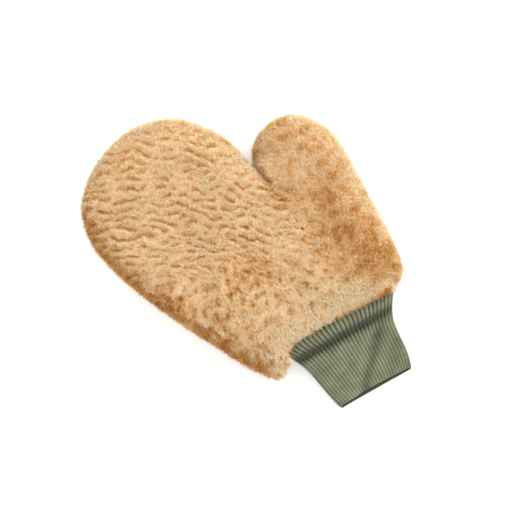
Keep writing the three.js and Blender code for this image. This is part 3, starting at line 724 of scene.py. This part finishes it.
def roughen(tree, shader, source, low, high, relief, depth, strength):
    """Drives the roughness from low to high by one pattern, and a bump of depth (mm) by another."""
    dull = node(tree, "ShaderNodeMapRange", {"To Min": low, "To Max": high}, {"Value": source})
    tree.links.new(dull.outputs["Result"], shader.inputs["Roughness"])
    settings = {"Strength": strength, "Distance": depth / 1000}
    bump = node(tree, "ShaderNodeBump", settings, {"Height": relief})
    tree.links.new(bump.outputs["Normal"], shader.inputs["Normal"])


def material(name):
    """An empty node material, its tree and its surface shader."""
    made = bpy.data.materials.new(name)
    made.use_nodes = True
    return made, made.node_tree, made.node_tree.nodes["Principled BSDF"]


def sheepskin_pile(shade, code):
    """Tanned sheepskin wool, the hairs of one shade: dull, with a faint glow where light grazes it. The
    scales of a hair are drawn much coarser than real ones, so that they break its gloss."""
    made, tree, shader = material(f"sheepskin_pile_{shade}")
    shader.inputs["Base Color"].default_value = linear(code)
    clumps = pattern(tree, "ShaderNodeTexNoise", 4, Detail=3.0)
    scales = pattern(tree, "ShaderNodeTexNoise", 0.25, Detail=2.0)
    roughen(tree, shader, clumps, 0.7, 1.0, scales, 0.1, 0.3)
    shader.inputs["Specular IOR Level"].default_value = 0.25
    shader.inputs["Sheen Weight"].default_value = 0.2
    shader.inputs["Sheen Roughness"].default_value = 0.5
    shader.inputs["Sheen Tint"].default_value = linear("F5D09A")
    return made


def sheepskin_underwool():
    """The dense underwool that shows between the hairs: dull, deep tan in the furrows, where it is in
    shade and has kept its colour, and cream on the curls."""
    made, tree, shader = material("sheepskin_underwool")
    depth = node(tree, "ShaderNodeAttribute", attribute_name="depth")
    colour = painted(tree, depth.outputs["Fac"], UNDERWOOL_COLOURS)
    tree.links.new(colour, shader.inputs["Base Color"])
    clumps = pattern(tree, "ShaderNodeTexNoise", 4, Detail=3.0)
    matted = pattern(tree, "ShaderNodeTexNoise", 0.5, Detail=3.0)
    roughen(tree, shader, clumps, 0.85, 1.0, matted, 0.3, 0.3)
    shader.inputs["Sheen Weight"].default_value = 0.2
    return made


def rib_knit():
    """Sage rib knit in cotton and elastic: light ribs with dark narrow grooves, small stitches across
    them, and inner layers darkened as painted shade. The colour follows the ribs, stitches and folds of
    the mesh; the grooves' darkness is the elastic core and painted shade, and the folds get painted shade."""
    made, tree, shader = material("sage_rib_knit")
    worn = pattern(tree, "ShaderNodeTexNoise", 11, Detail=4.0)
    yarn = pattern(tree, "ShaderNodeTexNoise", 0.4, Detail=3.0)
    rib = node(tree, "ShaderNodeAttribute", attribute_name="rib")
    colour = painted(tree, rib.outputs["Fac"], RIB_COLOURS)
    colour = painted(tree, worn, [(0.3, "D8D8D8"), (0.7, "FFFFFF")], colour)
    # stitch darkens the knit between stitches; inside and fold darken it with painted shade
    for label, shades in KNIT_SHADES.items():
        part = node(tree, "ShaderNodeAttribute", attribute_name=label)
        colour = painted(tree, part.outputs["Fac"], shades, colour)
    tree.links.new(colour, shader.inputs["Base Color"])
    roughen(tree, shader, worn, 0.8, 1.0, yarn, 0.2, 0.4)
    shader.inputs["Specular IOR Level"].default_value = 0.3
    shader.inputs["Sheen Weight"].default_value = 0.15
    return made


def suede():
    """Tanned skin seen from its flesh side: soft tan nap with cloudy darker places."""
    made, tree, shader = material("suede_hide")
    clouds = pattern(tree, "ShaderNodeTexNoise", 16, Detail=6.0)
    nap = pattern(tree, "ShaderNodeTexNoise", 0.8, Detail=4.0)
    colour = painted(tree, clouds, [(0.3, "B98A5B"), (0.7, "D6AD80")])
    tree.links.new(colour, shader.inputs["Base Color"])
    roughen(tree, shader, clouds, 0.85, 1.0, nap, 0.2, 0.5)
    shader.inputs["Sheen Weight"].default_value = 0.3
    return made


def sewing_thread():
    """Spun polyester thread: slightly shiny, with the twist of its strands."""
    made, tree, shader = material("spun_polyester_thread")
    twist = pattern(tree, "ShaderNodeTexWave", 1.1, Distortion=1.0)
    worn = pattern(tree, "ShaderNodeTexNoise", 2, Detail=2.0)
    colour = painted(tree, twist, [(0.0, "5A5940"), (1.0, "7C7B5E")])
    tree.links.new(colour, shader.inputs["Base Color"])
    roughen(tree, shader, worn, 0.5, 0.7, twist, 0.1, 0.5)
    return made


# ---------------------------------------------------------------- putting the mitt together
def towards(start, angle, distance):
    """A point in plan at a distance from start in the direction angle, on the middle plane."""
    x, y = start[0] + distance * math.cos(angle), start[1] + distance * math.sin(angle)
    return tuple(float(value) for value in place([x, y, MIDDLE]))


# For each fleece, two places on the middle plane: before and past the slit's foot, and before and past the thumb's
# root.
FINGER_BEND = (towards(CROTCH, SLIT_UP, -8), towards(CROTCH, SLIT_UP, 46))
THUMB_BEND = (towards(THUMB_ROOT, ROOT_UP, -8), towards(THUMB_ROOT, ROOT_UP, 40))
PANELS = {
    "main": (MAIN, MAIN_CENTRE, "fingers", FINGER_BEND),
    "thumb": (THUMB, THUMB_CENTRE, "thumb", THUMB_BEND),
}
STANDS_FOR = {
    ("main", "palm"): ["finger_palm_wool", "hand_palm_wool"],
    ("main", "back"): ["finger_back_wool", "hand_back_wool"],
    ("thumb", "palm"): ["thumb_palm_wool", "thumb_base_palm_wool"],
    ("thumb", "back"): ["thumb_back_wool", "thumb_base_back_wool"],
}
HAIRS = {("main", "palm"): 63000, ("main", "back"): 38500,
         ("thumb", "palm"): 30000, ("thumb", "back"): 20000}
SEEDS = {"palm": 20, "back": 40}
SPACING = 1.3                  # distance between a fleece's grid points


def build_fleece():
    """The palm and back fleeces of both panels, with their pile."""
    underwool = sheepskin_underwool()
    pile = {shade: sheepskin_pile(shade, PILE_COLOURS[shade]) for shade in SHADES}
    for panel, (rim, centre, body, bend) in PANELS.items():
        for face, side in (("palm", 1), ("back", -1)):
            seed = SEEDS[face]
            vertices, faces, depth, surface = fleece_body(rim, centre, side, seed, SPACING)
            base = mesh_object(f"{panel}_{face}_underwool", vertices, faces, [("depth", depth)])
            base.data.materials.append(underwool)
            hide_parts(*STANDS_FOR[panel, face])
            pieces = [base]
            hairs = HAIRS[panel, face] // 1
            points, spike, shade = grow_pile(surface, hairs, seed + len(panel))
            for k, label in enumerate(SHADES):
                some = pile_object(f"{panel}_{face}_pile_{label}", points[shade == k], spike)
                some.data.materials.append(pile[label])
                pieces.append(some)
            for piece in pieces:
                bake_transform(piece)


def dress_cad_nodes(thread):
    """The hides and the other threads keep their CAD shape and get suede and thread."""
    finishes = {"suede_hide": suede(), "sewing_thread": thread}
    slots = {part["node"]: part["material_slot"] for part in frame["record"]["subparts"]}
    for name, thing in frame["nodes"].items():
        finish = finishes.get(slots.get(name))
        if finish:
            thing.data.materials.clear()
            thing.data.materials.append(finish)


# ---------------------------------------------------------------- stage
def build_stage():
    """A white table, a white room, a broad lamp from the thumb's side and a faint one above."""
    bpy.ops.mesh.primitive_plane_add(size=60)    # metres, so that no view sees its edge
    floor = bpy.context.object
    floor.name = "floor"
    made, tree, shader = material("white_table")
    shader.inputs["Base Color"].default_value = (0.92, 0.92, 0.92, 1)
    shader.inputs["Roughness"].default_value = 0.9
    shader.inputs["Emission Color"].default_value = (1, 1, 1, 1)
    shader.inputs["Emission Strength"].default_value = 0.25
    floor.data.materials.append(made)
    world = bpy.data.worlds.new("room")
    world.use_nodes = True
    world.node_tree.nodes["Background"].inputs["Color"].default_value = (1, 1, 1, 1)
    world.node_tree.nodes["Background"].inputs["Strength"].default_value = 1.0
    bpy.context.scene.world = world
    for name, spot, size, power in (
        ("key", (1.7, 0.5, 1.55), 1.2, 34.0),
        ("top", (0.0, 0.1, 1.4), 1.0, 2.5),
    ):
        light = bpy.data.lights.new(name, "AREA")
        light.size = size
        light.energy = power
        lamp = bpy.data.objects.new(name, light)
        bpy.context.scene.collection.objects.link(lamp)
        lamp.location = spot
        lamp.rotation_euler = (-Vector(spot)).to_track_quat("-Z", "Y").to_euler()
    bpy.context.scene.view_settings.view_transform = "Standard"


def build_camera():
    """Straight above, turned so that the fingers point to the upper left."""
    camera = bpy.data.cameras.new("camera")
    camera.lens = 85
    camera.sensor_width = 36
    width = 0.453                                # metres seen across, at half the mitt's height
    middle = 0.029
    seen = bpy.data.objects.new("camera", camera)
    bpy.context.scene.collection.objects.link(seen)
    seen.location = (0.0024, 0.0019, middle + width * camera.lens / camera.sensor_width)
    seen.rotation_euler = (0, 0, math.radians(-29.5))
    bpy.context.scene.camera = seen


build_fleece()
cuff = build_cuff()
cuff.data.materials.append(rib_knit())
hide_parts("rib_cuff")
spun = sewing_thread()
side_thread = build_side_seam_thread()
side_thread.data.materials.append(spun)
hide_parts("cuff_side_seam_thread")
for piece in (cuff, side_thread):
    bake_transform(piece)
dress_cad_nodes(spun)
build_stage()
build_camera()
